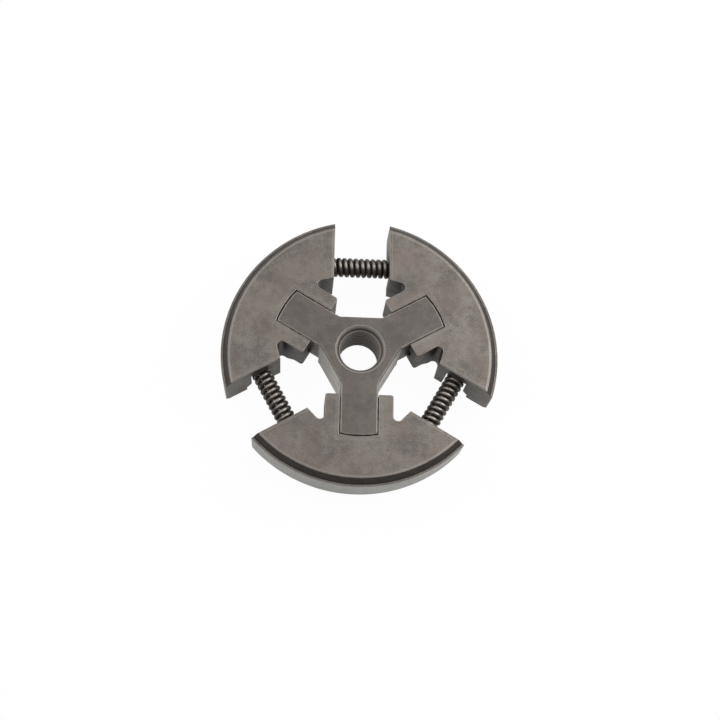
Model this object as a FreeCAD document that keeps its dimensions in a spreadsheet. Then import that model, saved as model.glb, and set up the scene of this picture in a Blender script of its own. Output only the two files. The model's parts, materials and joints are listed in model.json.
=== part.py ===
# Centrifugal clutch of a chainsaw: a three-armed hub, three sliding shoes and three tension springs.
# Millimetres. +Z runs along the crank axis towards the front face, the origin is on that axis at the middle
# of the shoes' thickness, and the first shoe points along -Y. Every piece is drawn with its own middle line
# along +X and the shoes' rear faces at height 0, and is then turned about the crank axis and lowered by half
# the thickness. The hub's boss overhangs the shoes at the rear.
import FreeCAD, Part
import Sketcher
import math
import os

SHOE_COUNT = 3
STEP_ANGLE = 360 / SHOE_COUNT
FIRST_ANGLE = -90
HALF_STEP = STEP_ANGLE / 2
WIRE_SIDES = 6
COIL_SEGMENTS = 8
HOOK_SEGMENTS = 8
HOOK_TURN = 190
TOLERANCE = 1e-6

SIZES = {
    # whole clutch
    "thickness": 13.0,
    "drum_radius": 38.0,
    "shoe_travel": 1.5,
    "gap_width": 15.0,
    # hub
    "arm_width": 9.8,
    "arm_reach": 23.3,
    "flat_distance": 8.9,
    "hub_fillet": 1.0,
    "hub_edge": 0.3,
    "boss_radius": 10.8,
    "boss_overhang": 2.4,
    "bore_radius": 5.51,
    "mouth_radius": 6.45,
    "mouth_depth": 1.63,
    "tongue_start": 14.6,
    "tongue_reach": 1.0,
    "tongue_height": 3.0,
    # shoe seen from the front
    "slide_clearance": 0.18,
    "seat_clearance": 0.3,
    "finger_width": 3.85,
    "finger_end": 12.35,
    "finger_round": 0.7,
    "recess_end": 15.0,
    "recess_depth": 2.0,
    "notch_floor": 19.25,
    "notch_round": 1.25,
    "peak_distance": 19.85,
    "shoe_edge": 0.15,
    # rim of the shoe
    "bevel_width": 1.35,
    "bevel_depth": 1.8,
    "land_width": 0.55,
    "rear_bevel": 1.0,
    # spring and the channel that holds its end
    "spring_distance": 25.35,
    "spring_diameter": 5.4,
    "wire_diameter": 1.4,
    "spring_pitch": 1.55,
    "coil_count": 14,
    "hook_neck": 1.35,
    "hook_clearance": 0.15,
    "channel_clearance": 0.4,
    "channel_step": 1.45,
    "step_depth": 1.9,
    "peg_reach": 2.9,
    # how far a cutting profile runs past the face that it cuts
    "overrun": 1.0,
}

HALF_GAP = "Sheet.gap_width / 2"
HUB_THICKNESS = "Sheet.thickness + Sheet.boss_overhang"
ARM_HALF = "Sheet.arm_width / 2"
SLOT_HALF = ARM_HALF + " + Sheet.slide_clearance"
FINGER_SIDE = SLOT_HALF + " + Sheet.finger_width"
SLOT_FLOOR = "Sheet.arm_reach + Sheet.seat_clearance"
TONGUE_SIDE = ARM_HALF + " + Sheet.tongue_reach"
COIL_RADIUS = "(Sheet.spring_diameter - Sheet.wire_diameter) / 2"
HOOK_CENTRE = "Sheet.coil_count * Sheet.spring_pitch / 2 + Sheet.hook_neck"
HOOK_BORE = "(Sheet.spring_diameter / 2 - Sheet.wire_diameter)"
PEG_RADIUS = HOOK_BORE + " - 2 * Sheet.hook_clearance"
PEG_INSET = HOOK_CENTRE + " + Sheet.hook_clearance"
CHANNEL_HALF = "Sheet.spring_diameter / 2 + Sheet.channel_clearance"
CHANNEL_ROOF = "Sheet.thickness / 2 + " + CHANNEL_HALF

doc = FreeCAD.newDocument("clutch")
sheet = doc.addObject("Spreadsheet::Sheet", "Sheet")
for row, (alias, number) in enumerate(SIZES.items(), start=1):
    sheet.set("A%d" % row, alias)
    sheet.set("B%d" % row, str(number))
    sheet.setAlias("B%d" % row, alias)
doc.recompute()


def measure(expression):
    """The number that an expression on the sheet gives."""
    return float(sheet.evalExpression(expression))


def point(along, across=0.0):
    return FreeCAD.Vector(along, across, 0)


def turned(radius, degrees, centre=None):
    """The point at a radius and an angle round a centre, which is the crank axis unless it is given."""
    angle = math.radians(degrees)
    return (centre or point(0)) + point(radius * math.cos(angle), radius * math.sin(angle))


def about_axis(degrees):
    """A placement turned about the crank axis, with the middle of the thickness at the origin's height."""
    drop = FreeCAD.Vector(0, 0, -measure("Sheet.thickness / 2"))
    return FreeCAD.Placement(drop, FreeCAD.Rotation(FreeCAD.Vector(0, 0, 1), degrees))


# Sketches and features


def new_body(label, degrees):
    body = doc.addObject("PartDesign::Body", label)
    body.Label = label
    body.Placement = about_axis(degrees)
    return body


def new_sketch(body, name, role):
    sketch = body.newObject("Sketcher::SketchObject", name)
    plane = next(feature for feature in body.Origin.OriginFeatures if feature.Role == role)
    sketch.AttachmentSupport = [(plane, "")]
    sketch.MapMode = "FlatFace"
    return sketch


def new_feature(body, kind, name, sketch, length=None):
    feature = body.newObject("PartDesign::" + kind, name)
    feature.Profile = sketch
    if length:
        feature.setExpression("Length", length)
    sketch.Visibility = False
    return feature


def dimension(sketch, kind, elements, expression):
    """A sketch dimension tied to the sheet."""
    constraint = Sketcher.Constraint(kind, *elements, measure(expression))
    index = sketch.addConstraint(constraint)
    sketch.setExpression("Constraints[%d]" % index, expression)


def line(sketch, start, end, distance=None):
    """A straight edge that keeps its direction and, where given, its distance from the sketch's origin."""
    edge = sketch.addGeometry(Part.LineSegment(start, end))
    if distance:
        direction = math.atan2(end.y - start.y, end.x - start.x)
        sketch.addConstraint(Sketcher.Constraint("Angle", edge, direction))
        dimension(sketch, "Distance", (-1, 1, edge), distance)
    return edge


def arc(sketch, centre, radius, start_degrees, end_degrees):
    """An arc drawn anticlockwise whose radius is tied to the sheet."""
    circle = Part.Circle(centre, FreeCAD.Vector(0, 0, 1), measure(radius))
    shape = Part.ArcOfCircle(circle, math.radians(start_degrees), math.radians(end_degrees))
    edge = sketch.addGeometry(shape)
    dimension(sketch, "Radius", (edge,), radius)
    return edge


def meet(sketch, first, first_end, second, second_end, kind="Coincident"):
    sketch.addConstraint(Sketcher.Constraint(kind, first, first_end, second, second_end))


def close_loop(sketch, edges):
    """Join straight edges end to start, all the way round."""
    for first, second in zip(edges, edges[1:] + edges[:1]):
        meet(sketch, first, 2, second, 1)


def rectangle(sketch, left, right, low, high):
    """A rectangle whose four sides are each set by an expression for their distance from the origin."""
    corners = [(left, low), (right, low), (right, high), (left, high)]
    places = [point(measure(along), measure(across)) for along, across in corners]
    distances = [low, right, high, left]
    edges = []
    for index, distance in enumerate(distances):
        side = "abs(" + distance + ")"
        edges.append(line(sketch, places[index], places[(index + 1) % len(places)], side))
    close_loop(sketch, edges)


def draw_profile(sketch, corners):
    """A closed outline through corners given by expressions, each a distance along and a height."""
    places = [point(measure(along), measure(height)) for along, height in corners]
    edges = [line(sketch, places[index - 1], places[index]) for index in range(len(places))]
    close_loop(sketch, edges)
    for edge, place, (along, height) in zip(edges, places, corners):
        for kind, offset, expression in (("DistanceX", place.x, along), ("DistanceY", place.y, height)):
            if offset > 0:
                dimension(sketch, kind, (-1, 1, edge, 2), expression)
            else:
                dimension(sketch, kind, (edge, 2, -1, 1), "-(" + expression + ")")


def upright_edges(shape, radius):
    """The names of the edges parallel to the crank axis whose foot is at a given distance from it."""
    names = []
    for index, edge in enumerate(shape.Edges, start=1):
        ends = [vertex.Point for vertex in edge.Vertexes]
        upright = len(ends) == 2 and math.hypot(ends[0].x - ends[1].x, ends[0].y - ends[1].y) < TOLERANCE
        if upright and abs(math.hypot(ends[0].x, ends[0].y) - radius) < TOLERANCE:
            names.append("Edge%d" % index)
    return names


def front_edges(shape, round_radius):
    """The names of the front face's edges, apart from round ones of the given radius."""
    height = measure("Sheet.thickness")
    names = []
    for index, edge in enumerate(shape.Edges, start=1):
        on_front = all(abs(vertex.Z - height) < TOLERANCE for vertex in edge.Vertexes)
        curve = edge.Curve
        left_out = isinstance(curve, Part.Circle) and abs(curve.Radius - round_radius) < TOLERANCE
        if on_front and not left_out:
            names.append("Edge%d" % index)
    return names


# Hub: a countersunk boss with flats between three thinner arms, which have guiding tongues on their sides


def draw_hub_plan(sketch):
    arm_half = measure(ARM_HALF)
    reach = measure("Sheet.arm_reach")
    flat = measure("Sheet.flat_distance")
    spread = math.degrees(math.asin(arm_half / reach))
    slope = math.radians(HALF_STEP)
    root = point((flat - arm_half * math.sin(slope)) / math.cos(slope), arm_half)
    edges = []
    for index in range(SHOE_COUNT):
        turn = FreeCAD.Rotation(FreeCAD.Vector(0, 0, 1), index * STEP_ANGLE)
        onward = FreeCAD.Rotation(FreeCAD.Vector(0, 0, 1), (index + 1) * STEP_ANGLE)
        middle = index * STEP_ANGLE
        lower_root = turn.multVec(point(root.x, -root.y))
        upper_root = turn.multVec(root)
        next_root = onward.multVec(point(root.x, -root.y))
        lower = line(sketch, lower_root, turned(reach, middle - spread), ARM_HALF)
        end = arc(sketch, point(0), "Sheet.arm_reach", middle - spread, middle + spread)
        upper = line(sketch, turned(reach, middle + spread), upper_root, ARM_HALF)
        flat_edge = line(sketch, upper_root, next_root, "Sheet.flat_distance")
        meet(sketch, end, 3, -1, 1)
        edges += [lower, end, upper, flat_edge]
    close_loop(sketch, edges)
    return math.hypot(root.x, root.y)


def draw_turned_cuts(sketch):
    """The bore's countersinks and the step behind the arms, cut round the crank axis, from the rear face up."""
    bore = "Sheet.bore_radius"
    inside = bore + " / 2"
    flare = "(Sheet.mouth_radius - Sheet.bore_radius) / Sheet.mouth_depth"
    outside = "Sheet.mouth_radius + Sheet.overrun * " + flare
    floor = HUB_THICKNESS + " - Sheet.mouth_depth"
    above = HUB_THICKNESS + " + Sheet.overrun"
    draw_profile(sketch, [(inside, floor), (bore, floor), (outside, above), (inside, above)])
    roof = "Sheet.mouth_depth"
    below = "-Sheet.overrun"
    draw_profile(sketch, [(inside, below), (outside, below), (bore, roof), (inside, roof)])
    boss = "Sheet.boss_radius"
    past_arms = "Sheet.arm_reach + Sheet.overrun"
    step = "Sheet.boss_overhang + Sheet.recess_depth"
    draw_profile(sketch, [(boss, below), (past_arms, below), (past_arms, step), (boss, step)])


def make_hub():
    body = new_body("hub", FIRST_ANGLE)
    plan = new_sketch(body, "hub_plan", "XY_Plane")
    plan.setExpression("AttachmentOffset.Base.z", "-Sheet.boss_overhang")
    root_radius = draw_hub_plan(plan)
    new_feature(body, "Pad", "hub_block", plan, HUB_THICKNESS)

    tongue = new_sketch(body, "tongue_section", "YZ_Plane")
    low = "(Sheet.thickness - Sheet.tongue_height) / 2"
    high = "(Sheet.thickness + Sheet.tongue_height) / 2"
    rectangle(tongue, "-(" + TONGUE_SIDE + ")", TONGUE_SIDE, low, high)
    tongue.setExpression("AttachmentOffset.Base.z", "Sheet.tongue_start")
    tip = "sqrt(Sheet.arm_reach ^ 2 - (" + TONGUE_SIDE + ") ^ 2)"
    tongue_pad = new_feature(body, "Pad", "tongue", tongue, tip + " - Sheet.tongue_start")

    pattern = body.newObject("PartDesign::PolarPattern", "tongues")
    pattern.Originals = [tongue_pad]
    axis = next(feature for feature in body.Origin.OriginFeatures if feature.Role == "Z_Axis")
    pattern.Axis = (axis, [""])
    pattern.Angle = 360
    pattern.Occurrences = SHOE_COUNT
    body.Tip = pattern
    doc.recompute()

    fillet = body.newObject("PartDesign::Fillet", "hub_corners")
    fillet.Base = (pattern, upright_edges(pattern.Shape, root_radius))
    fillet.setExpression("Radius", "Sheet.hub_fillet")

    bore_plan = new_sketch(body, "bore_plan", "XY_Plane")
    bore_plan.setExpression("AttachmentOffset.Base.z", "-Sheet.boss_overhang")
    circle = Part.Circle(point(0), FreeCAD.Vector(0, 0, 1), measure("Sheet.bore_radius"))
    rim = bore_plan.addGeometry(circle)
    meet(bore_plan, rim, 3, -1, 1)
    dimension(bore_plan, "Radius", (rim,), "Sheet.bore_radius")
    bore = new_feature(body, "Pocket", "bore", bore_plan, HUB_THICKNESS)
    bore.Reversed = True

    section = new_sketch(body, "turned_section", "XZ_Plane")
    section.setExpression("AttachmentOffset.Base.y", "-Sheet.boss_overhang")
    draw_turned_cuts(section)
    turned_cuts = new_feature(body, "Groove", "turned_cuts", section)
    turned_cuts.ReferenceAxis = (section, ["V_Axis"])
    turned_cuts.Angle = 360
    doc.recompute()

    edges = body.newObject("PartDesign::Chamfer", "front_edges")
    edges.Base = (turned_cuts, front_edges(turned_cuts.Shape, measure("Sheet.mouth_radius")))
    edges.setExpression("Size", "Sheet.hub_edge")
    return body


# Shoe: a rim that fits the drum, a slot for the hub's arm between two fingers, and a channel at each end


def draw_shoe_side(sketch, side):
    """The half of the plan on one side of the arm: side is 1 or -1. Gives its tip and slot edges."""
    gap = measure(HALF_GAP)
    cosine = math.cos(math.radians(HALF_STEP))
    sine = math.sin(math.radians(HALF_STEP))
    travel = measure("Sheet.shoe_travel")
    reach = measure("Sheet.drum_radius")
    finger_side = measure(FINGER_SIDE)
    finger_end = measure("Sheet.finger_end")
    finger_round = measure("Sheet.finger_round")
    slot_half = measure(SLOT_HALF)
    notch_round = measure("Sheet.notch_round")

    def place(along, across):
        return point(along, side * across)

    def on_end_face(distance):
        return place(cosine * distance + sine * gap, sine * distance - cosine * gap)

    def swept(first, second):
        """Start and end of an arc whose angles are given for the side 1."""
        return (first, second) if side > 0 else (-second, -first)

    start, finish = (1, 2) if side > 0 else (2, 1)
    room = reach**2 - (sine * gap + travel) ** 2 - (cosine * gap) ** 2
    tip_distance = math.sqrt(room + (cosine * travel) ** 2) - cosine * travel
    peak = on_end_face(measure("Sheet.peak_distance"))
    notch_centre = place(measure("Sheet.notch_floor") - notch_round, finger_side + notch_round)
    span = peak - notch_centre
    tangent_turn = math.degrees(math.atan2(side * span.y, span.x) - math.acos(notch_round / span.Length))
    tangent = turned(notch_round, side * tangent_turn, notch_centre)
    floor_end = math.sqrt(measure(SLOT_FLOOR) ** 2 - slot_half**2)

    end_face = line(sketch, on_end_face(tip_distance), peak, HALF_GAP)
    slant = line(sketch, peak, tangent)
    notch = arc(sketch, notch_centre, "Sheet.notch_round", *swept(-90, tangent_turn))
    corner_along = finger_end + finger_round
    corner_across = finger_side - finger_round
    mouth = place(finger_end, slot_half)
    finger = line(sketch, place(notch_centre.x, finger_side), place(corner_along, finger_side), FINGER_SIDE)
    corner = arc(sketch, place(corner_along, corner_across), "Sheet.finger_round", *swept(90, 180))
    finger_tip = line(sketch, place(finger_end, corner_across), mouth, "Sheet.finger_end")
    slot = line(sketch, mouth, place(floor_end, slot_half), SLOT_HALF)

    meet(sketch, end_face, 2, slant, 1)
    peak_radius = "sqrt(Sheet.peak_distance ^ 2 + (" + HALF_GAP + ") ^ 2)"
    dimension(sketch, "Distance", (-1, 1, end_face, 2), peak_radius)
    meet(sketch, slant, 2, notch, finish, "Tangent")
    dimension(sketch, "DistanceX", (-1, 1, notch, 3), "Sheet.notch_floor - Sheet.notch_round")
    meet(sketch, notch, start, finger, 1, "Tangent")
    meet(sketch, finger, 2, corner, start, "Tangent")
    meet(sketch, corner, finish, finger_tip, 1, "Tangent")
    meet(sketch, finger_tip, 2, slot, 1)
    return end_face, slot


def draw_shoe_plan(sketch):
    upper_end, upper_slot = draw_shoe_side(sketch, 1)
    lower_end, lower_slot = draw_shoe_side(sketch, -1)
    centre = point(-measure("Sheet.shoe_travel"))
    tip = sketch.Geometry[upper_end].StartPoint - centre
    tip_turn = math.degrees(math.atan2(tip.y, tip.x))
    rim = arc(sketch, centre, "Sheet.drum_radius", -tip_turn, tip_turn)
    dimension(sketch, "DistanceX", (rim, 3, -1, 1), "Sheet.shoe_travel")
    sketch.addConstraint(Sketcher.Constraint("PointOnObject", rim, 3, -1))
    meet(sketch, rim, 2, upper_end, 1)
    meet(sketch, rim, 1, lower_end, 1)
    floor_turn = math.degrees(math.asin(measure(SLOT_HALF) / measure(SLOT_FLOOR)))
    floor = arc(sketch, point(0), SLOT_FLOOR, -floor_turn, floor_turn)
    meet(sketch, floor, 3, -1, 1)
    meet(sketch, floor, 2, upper_slot, 2)
    meet(sketch, floor, 1, lower_slot, 2)


def draw_rim_cuts(sketch):
    """The front bevel with its flat land and the rear bevel, as cut round the drum's own axis."""
    rim = "Sheet.drum_radius"
    outside = rim + " + Sheet.overrun"
    land = rim + " - Sheet.land_width"
    face = land + " - Sheet.bevel_width"
    shoulder = "Sheet.thickness - Sheet.bevel_depth"
    above = "Sheet.thickness + Sheet.overrun"
    draw_profile(
        sketch,
        [(face, "Sheet.thickness"), (land, shoulder), (outside, shoulder), (outside, above), (face, above)],
    )
    rear = rim + " - Sheet.rear_bevel - Sheet.overrun"
    below = "-Sheet.overrun"
    draw_profile(sketch, [(rear, below), (outside, below), (outside, "Sheet.rear_bevel + Sheet.overrun")])


def draw_recess(sketch):
    """The side view of the recess behind the fingers, with a slope of 45 degrees at its end."""
    tip = "Sheet.finger_end - Sheet.overrun"
    end = "Sheet.recess_end"
    slope_foot = end + " + Sheet.recess_depth + Sheet.overrun"
    below = "-Sheet.overrun"
    roof = "Sheet.recess_depth"
    draw_profile(sketch, [(tip, below), (slope_foot, below), (end, roof), (tip, roof)])


def draw_channel(sketch):
    """The section of a spring's channel: open to the rear, with a sloping shoulder on its outer side."""
    inner = "Sheet.spring_distance - (" + CHANNEL_HALF + ")"
    outer = "Sheet.spring_distance + " + CHANNEL_HALF
    step = outer + " + Sheet.channel_step"
    shoulder = "Sheet.step_depth + Sheet.channel_step"
    draw_profile(
        sketch,
        [(inner, "-Sheet.overrun"), (step, "-Sheet.overrun"), (step, "Sheet.step_depth"), (outer, shoulder),
         (outer, CHANNEL_ROOF), (inner, CHANNEL_ROOF)],
    )


def make_shoe(index):
    body = new_body("shoe_%d" % (index + 1), FIRST_ANGLE + index * STEP_ANGLE)
    plan = new_sketch(body, "shoe_plan", "XY_Plane")
    draw_shoe_plan(plan)
    new_feature(body, "Pad", "shoe_block", plan, "Sheet.thickness")

    rim_cuts = new_sketch(body, "rim_cuts", "XZ_Plane")
    rim_cuts.setExpression("AttachmentOffset.Base.x", "-Sheet.shoe_travel")
    draw_rim_cuts(rim_cuts)
    groove = new_feature(body, "Groove", "rim", rim_cuts)
    groove.ReferenceAxis = (rim_cuts, ["V_Axis"])
    groove.Angle = 360

    finger_side_view = new_sketch(body, "finger_side_view", "XZ_Plane")
    draw_recess(finger_side_view)
    across_fingers = "2 * (" + FINGER_SIDE + " + Sheet.notch_round)"
    recess = new_feature(body, "Pocket", "finger_recess", finger_side_view, across_fingers)
    recess.Midplane = True

    for side in (1, -1):
        channel = new_sketch(body, "channel_section", "XZ_Plane")
        turn = FreeCAD.Rotation(FreeCAD.Vector(0, 1, 0), side * HALF_STEP)
        channel.AttachmentOffset = FreeCAD.Placement(FreeCAD.Vector(), turn)
        draw_channel(channel)
        pocket = new_feature(body, "Pocket", "channel", channel, HOOK_CENTRE + " + " + CHANNEL_HALF)
        pocket.Reversed = side > 0

    pegs = new_sketch(body, "peg_plan", "XY_Plane")
    pegs.setExpression("AttachmentOffset.Base.z", "Sheet.thickness / 2 - Sheet.peg_reach")
    along = "Sheet.spring_distance * cos(%g deg) + (%s) * sin(%g deg)" % (HALF_STEP, PEG_INSET, HALF_STEP)
    across = "Sheet.spring_distance * sin(%g deg) - (%s) * cos(%g deg)" % (HALF_STEP, PEG_INSET, HALF_STEP)
    for side in (1, -1):
        centre = point(measure(along), side * measure(across))
        circle = Part.Circle(centre, FreeCAD.Vector(0, 0, 1), measure(PEG_RADIUS))
        peg = pegs.addGeometry(circle)
        dimension(pegs, "Radius", (peg,), PEG_RADIUS)
        dimension(pegs, "DistanceX", (-1, 1, peg, 3), along)
        dimension(pegs, "DistanceY", (-1, 1, peg, 3) if side > 0 else (peg, 3, -1, 1), across)
    new_feature(body, "Pad", "pegs", pegs, "Sheet.peg_reach + " + CHANNEL_HALF + " + Sheet.overrun")

    key = new_sketch(body, "tongue_groove", "YZ_Plane")
    side_wall = TONGUE_SIDE + " + Sheet.slide_clearance"
    low = "(Sheet.thickness - Sheet.tongue_height) / 2 - Sheet.slide_clearance"
    high = "(Sheet.thickness + Sheet.tongue_height) / 2 + Sheet.slide_clearance"
    rectangle(key, "-(" + side_wall + ")", side_wall, low, high)
    key_cut = new_feature(body, "Pocket", "tongue_slot", key, SLOT_FLOOR)
    key_cut.Reversed = True
    doc.recompute()

    edges = body.newObject("PartDesign::Chamfer", "front_edges")
    bevel_top = "Sheet.drum_radius - Sheet.land_width - Sheet.bevel_width"
    edges.Base = (key_cut, front_edges(key_cut.Shape, measure(bevel_top)))
    edges.setExpression("Size", "Sheet.shoe_edge")
    return body


# Spring: a close row of coils with an open hook at each end, its wire drawn with flat sides


def spring_path():
    """Corner points of the wire's middle line, for a spring lying along +Y beside the crank axis."""
    radius = measure(COIL_RADIUS)
    pitch = measure("Sheet.spring_pitch")
    count = int(measure("Sheet.coil_count"))
    hook_centre = measure(HOOK_CENTRE)
    middle = FreeCAD.Vector(measure("Sheet.spring_distance"), 0, measure("Sheet.thickness / 2"))
    coils = []
    for index in range(-count * COIL_SEGMENTS // 2, count * COIL_SEGMENTS // 2 + 1):
        turn = 2 * math.pi * index / COIL_SEGMENTS + count * math.pi
        height = pitch * index / COIL_SEGMENTS
        coils.append(FreeCAD.Vector(radius * math.cos(turn), height, -radius * math.sin(turn)))
    hook = []
    for index in range(HOOK_SEGMENTS + 1):
        turn = math.radians(HOOK_TURN * index / HOOK_SEGMENTS)
        hook.append(FreeCAD.Vector(radius * math.cos(turn), hook_centre + radius * math.sin(turn), 0))
    far_hook = [FreeCAD.Vector(corner.x, -corner.y, 0) for corner in reversed(hook)]
    return [middle + corner for corner in far_hook + coils + hook]


def make_spring(index):
    corners = spring_path()
    wire_radius = measure("Sheet.wire_diameter / 2")
    flats = [turned(wire_radius, 360 * side / WIRE_SIDES) for side in range(WIRE_SIDES + 1)]
    section = Part.makePolygon(flats)
    heading = FreeCAD.Rotation(FreeCAD.Vector(0, 0, 1), corners[1] - corners[0])
    section.Placement = FreeCAD.Placement(corners[0], heading)
    wire = Part.makePolygon(corners).makePipeShell([section], True, False, 1)
    spring = doc.addObject("Part::Feature", "spring_%d" % (index + 1))
    spring.Label = "spring_%d" % (index + 1)
    spring.Shape = wire
    spring.Placement = about_axis(FIRST_ANGLE + HALF_STEP + index * STEP_ANGLE)
    return spring


# The document


pieces = [make_hub()]
for number in range(SHOE_COUNT):
    pieces.append(make_shoe(number))
    pieces.append(make_spring(number))
doc.recompute()

for item in doc.Objects:
    if "Invalid" in item.State or "Error" in item.State:
        raise RuntimeError("%s did not build: %s" % (item.Name, item.State))
    if item.TypeId in ("PartDesign::Pocket", "PartDesign::Groove"):
        if item.Shape.Volume >= item.BaseFeature.Shape.Volume:
            raise RuntimeError("%s cuts nothing" % item.Name)
for piece in pieces:
    if piece.Shape.isNull() or not piece.Shape.isValid() or len(piece.Shape.Solids) != 1:
        raise RuntimeError("%s is not one valid solid" % piece.Label)

os.makedirs("parts", exist_ok=True)
for piece in pieces:
    piece.Shape.exportStep("parts/%s.step" % piece.Label)
    print(piece.Label, round(piece.Shape.Volume, 2))
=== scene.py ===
"""The looks of a chainsaw's centrifugal clutch: sintered hub and shoes, black springs, bore thread.

Metres, in the frame of the solids: +Z along the crank axis towards the front, the first shoe
along -Y.
"""
import json
import math

import bpy
import numpy as np
from mathutils import Matrix, Vector


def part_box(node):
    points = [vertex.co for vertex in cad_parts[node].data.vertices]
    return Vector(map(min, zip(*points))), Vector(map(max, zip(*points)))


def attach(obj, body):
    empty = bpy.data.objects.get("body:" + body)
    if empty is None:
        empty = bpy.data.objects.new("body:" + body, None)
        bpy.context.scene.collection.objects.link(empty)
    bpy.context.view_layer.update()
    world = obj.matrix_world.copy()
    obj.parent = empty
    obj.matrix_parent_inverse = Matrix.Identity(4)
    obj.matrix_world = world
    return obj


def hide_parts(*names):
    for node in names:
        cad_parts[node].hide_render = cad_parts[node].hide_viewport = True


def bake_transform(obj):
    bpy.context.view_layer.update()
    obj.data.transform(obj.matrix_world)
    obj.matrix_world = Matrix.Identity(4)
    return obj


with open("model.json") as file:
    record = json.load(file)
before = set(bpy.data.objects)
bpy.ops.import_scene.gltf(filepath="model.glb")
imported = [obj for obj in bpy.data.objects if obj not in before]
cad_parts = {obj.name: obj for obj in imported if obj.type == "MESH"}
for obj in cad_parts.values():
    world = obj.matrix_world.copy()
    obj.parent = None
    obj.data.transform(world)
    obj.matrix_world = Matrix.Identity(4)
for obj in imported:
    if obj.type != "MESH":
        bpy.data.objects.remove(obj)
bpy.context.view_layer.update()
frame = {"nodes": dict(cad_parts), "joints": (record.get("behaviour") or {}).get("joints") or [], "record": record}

MM = 0.001
SHOES = ("shoe_1", "shoe_2", "shoe_3")
SPRINGS = ("spring_1", "spring_2", "spring_3")
STEP = 2 * math.pi / len(SHOES)
FIRST_SHOE = -math.pi / 2

# Sizes of the hub and the shoes

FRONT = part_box("hub")[1].z
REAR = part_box("hub")[0].z
TRAVEL = frame["joints"][0]["range_m"][1]
DRUM_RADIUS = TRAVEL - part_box("shoe_1")[0].y
GAP_WIDTH = 15.0 * MM
SLOT_WIDTH = 10.2 * MM
SLOT_REACH = 23.6 * MM
FINGER_REACH = 18.0 * MM
END_FACING = (math.sin(STEP / 2), -math.cos(STEP / 2), 0.0)
LAND_WIDTH = 0.55 * MM
BEVEL_WIDTH = 1.35 * MM
FACE_EDGE = DRUM_RADIUS - LAND_WIDTH - BEVEL_WIDTH
FLAT_REACH = 10.4 * MM
BORE = frame["record"]["mounts"][0]["dims"]
BORE_RADIUS = BORE["r_mm"] * MM
BORE_LENGTH = BORE["length_mm"] * MM
BORE_MIDDLE = (FRONT + REAR) / 2
MOUTH_RADIUS = 6.45 * MM
MOUTH_DEPTH = (FRONT - REAR - BORE_LENGTH) / 2
FOOT_RADIUS = 5.75 * MM

# Sizes of the springs

SPRING_DISTANCE = 25.35 * MM
COIL_RADIUS = 2.0 * MM
WIRE_RADIUS = 0.7 * MM
SPRING_PITCH = 1.55 * MM
HALF_COILS = 7
HOOK_NECK = 1.35 * MM
HOOK_TURN = math.radians(190)
BELL_SPREADS = 2.5

# Sizes of the bore's thread, with the ridge's foot and flank as shares of the pitch

THREAD_PITCH = 1.5 * MM
THREAD_HEIGHT = 0.26 * MM
RIDGE_FOOT = 0.44
RIDGE_FLANK = 0.31
ROOT_DEPTH = 0.02 * MM
SLEEVE_DEPTH = 0.06 * MM
LIP_HEIGHT = 0.12 * MM
LIP_DEPTH = 0.15 * MM
LIP_WIDTH = 0.3 * MM
LIP_ROUND = 0.06 * MM

# Surfaces


def new_piece(name, vertices, faces, smooth):
    """A mesh object at the origin, with smooth or flat faces."""
    mesh = bpy.data.meshes.new(name)
    mesh.from_pydata(vertices.tolist(), [], faces)
    mesh.polygons.foreach_set("use_smooth", np.full(len(mesh.polygons), smooth))
    mesh.update()
    piece = bpy.data.objects.new(name, mesh)
    bpy.context.scene.collection.objects.link(piece)
    return piece


def grid_quads(rows, columns, closed_rows):
    """Quads of a grid whose columns close into a ring, as its rows do if closed_rows is true.

    Each face runs first along its columns and then along its rows.
    """
    last = rows if closed_rows else rows - 1
    row, column = np.meshgrid(np.arange(last), np.arange(columns), indexing="ij")
    onward = (column + 1) % columns
    here = row * columns
    above = (row + 1) % rows * columns
    corners = [here + column, here + onward, above + onward, above + column]
    return np.stack(corners, axis=-1).reshape(-1, 4).tolist()


def unit(vectors):
    """Each vector divided by its length."""
    return vectors / np.linalg.norm(vectors, axis=-1, keepdims=True)


def smoothed(points, reach):
    """Each point becomes the bell-weighted mean of the points within reach on either side of it."""
    spreads = np.arange(-reach, reach + 1) / (reach / BELL_SPREADS)
    weights = np.exp(-(spreads ** 2) / 2)
    weights /= weights.sum()
    before, after = np.repeat(points[:1], reach, 0), np.repeat(points[-1:], reach, 0)
    padded = np.concatenate([before, points, after])
    return np.stack([np.convolve(axis, weights, "valid") for axis in padded.T], axis=1)


def half_spring_path(step):
    """Half of a spring's middle line and the outward direction at each of its points, along +Y.

    A helix of coil radius R and pitch P, (R cos t, P t / 2 pi, -R sin t), then a straight neck
    along +Y and an arc of radius R in the plane Z = 0. It begins a quarter turn before the
    spring's middle.
    """
    turn = np.arange(-math.pi / 2, 2 * math.pi * HALF_COILS, step / COIL_RADIUS)
    outward = np.stack([np.cos(turn), np.zeros_like(turn), -np.sin(turn)], axis=1)
    coils = COIL_RADIUS * outward
    coils[:, 1] = SPRING_PITCH * turn / (2 * math.pi)
    coil_end = SPRING_PITCH * HALF_COILS
    neck_run = np.arange(0, HOOK_NECK, step)
    neck_outward = np.tile([1.0, 0.0, 0.0], (len(neck_run), 1))
    neck = COIL_RADIUS * neck_outward
    neck[:, 1] = coil_end + neck_run
    bend = np.arange(0, HOOK_TURN, step / COIL_RADIUS)
    hook_outward = np.stack([np.cos(bend), np.sin(bend), np.zeros_like(bend)], axis=1)
    hook = COIL_RADIUS * hook_outward
    hook[:, 1] += coil_end + HOOK_NECK
    path = np.concatenate([coils, neck, hook])
    return path, np.concatenate([outward, neck_outward, hook_outward])


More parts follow.
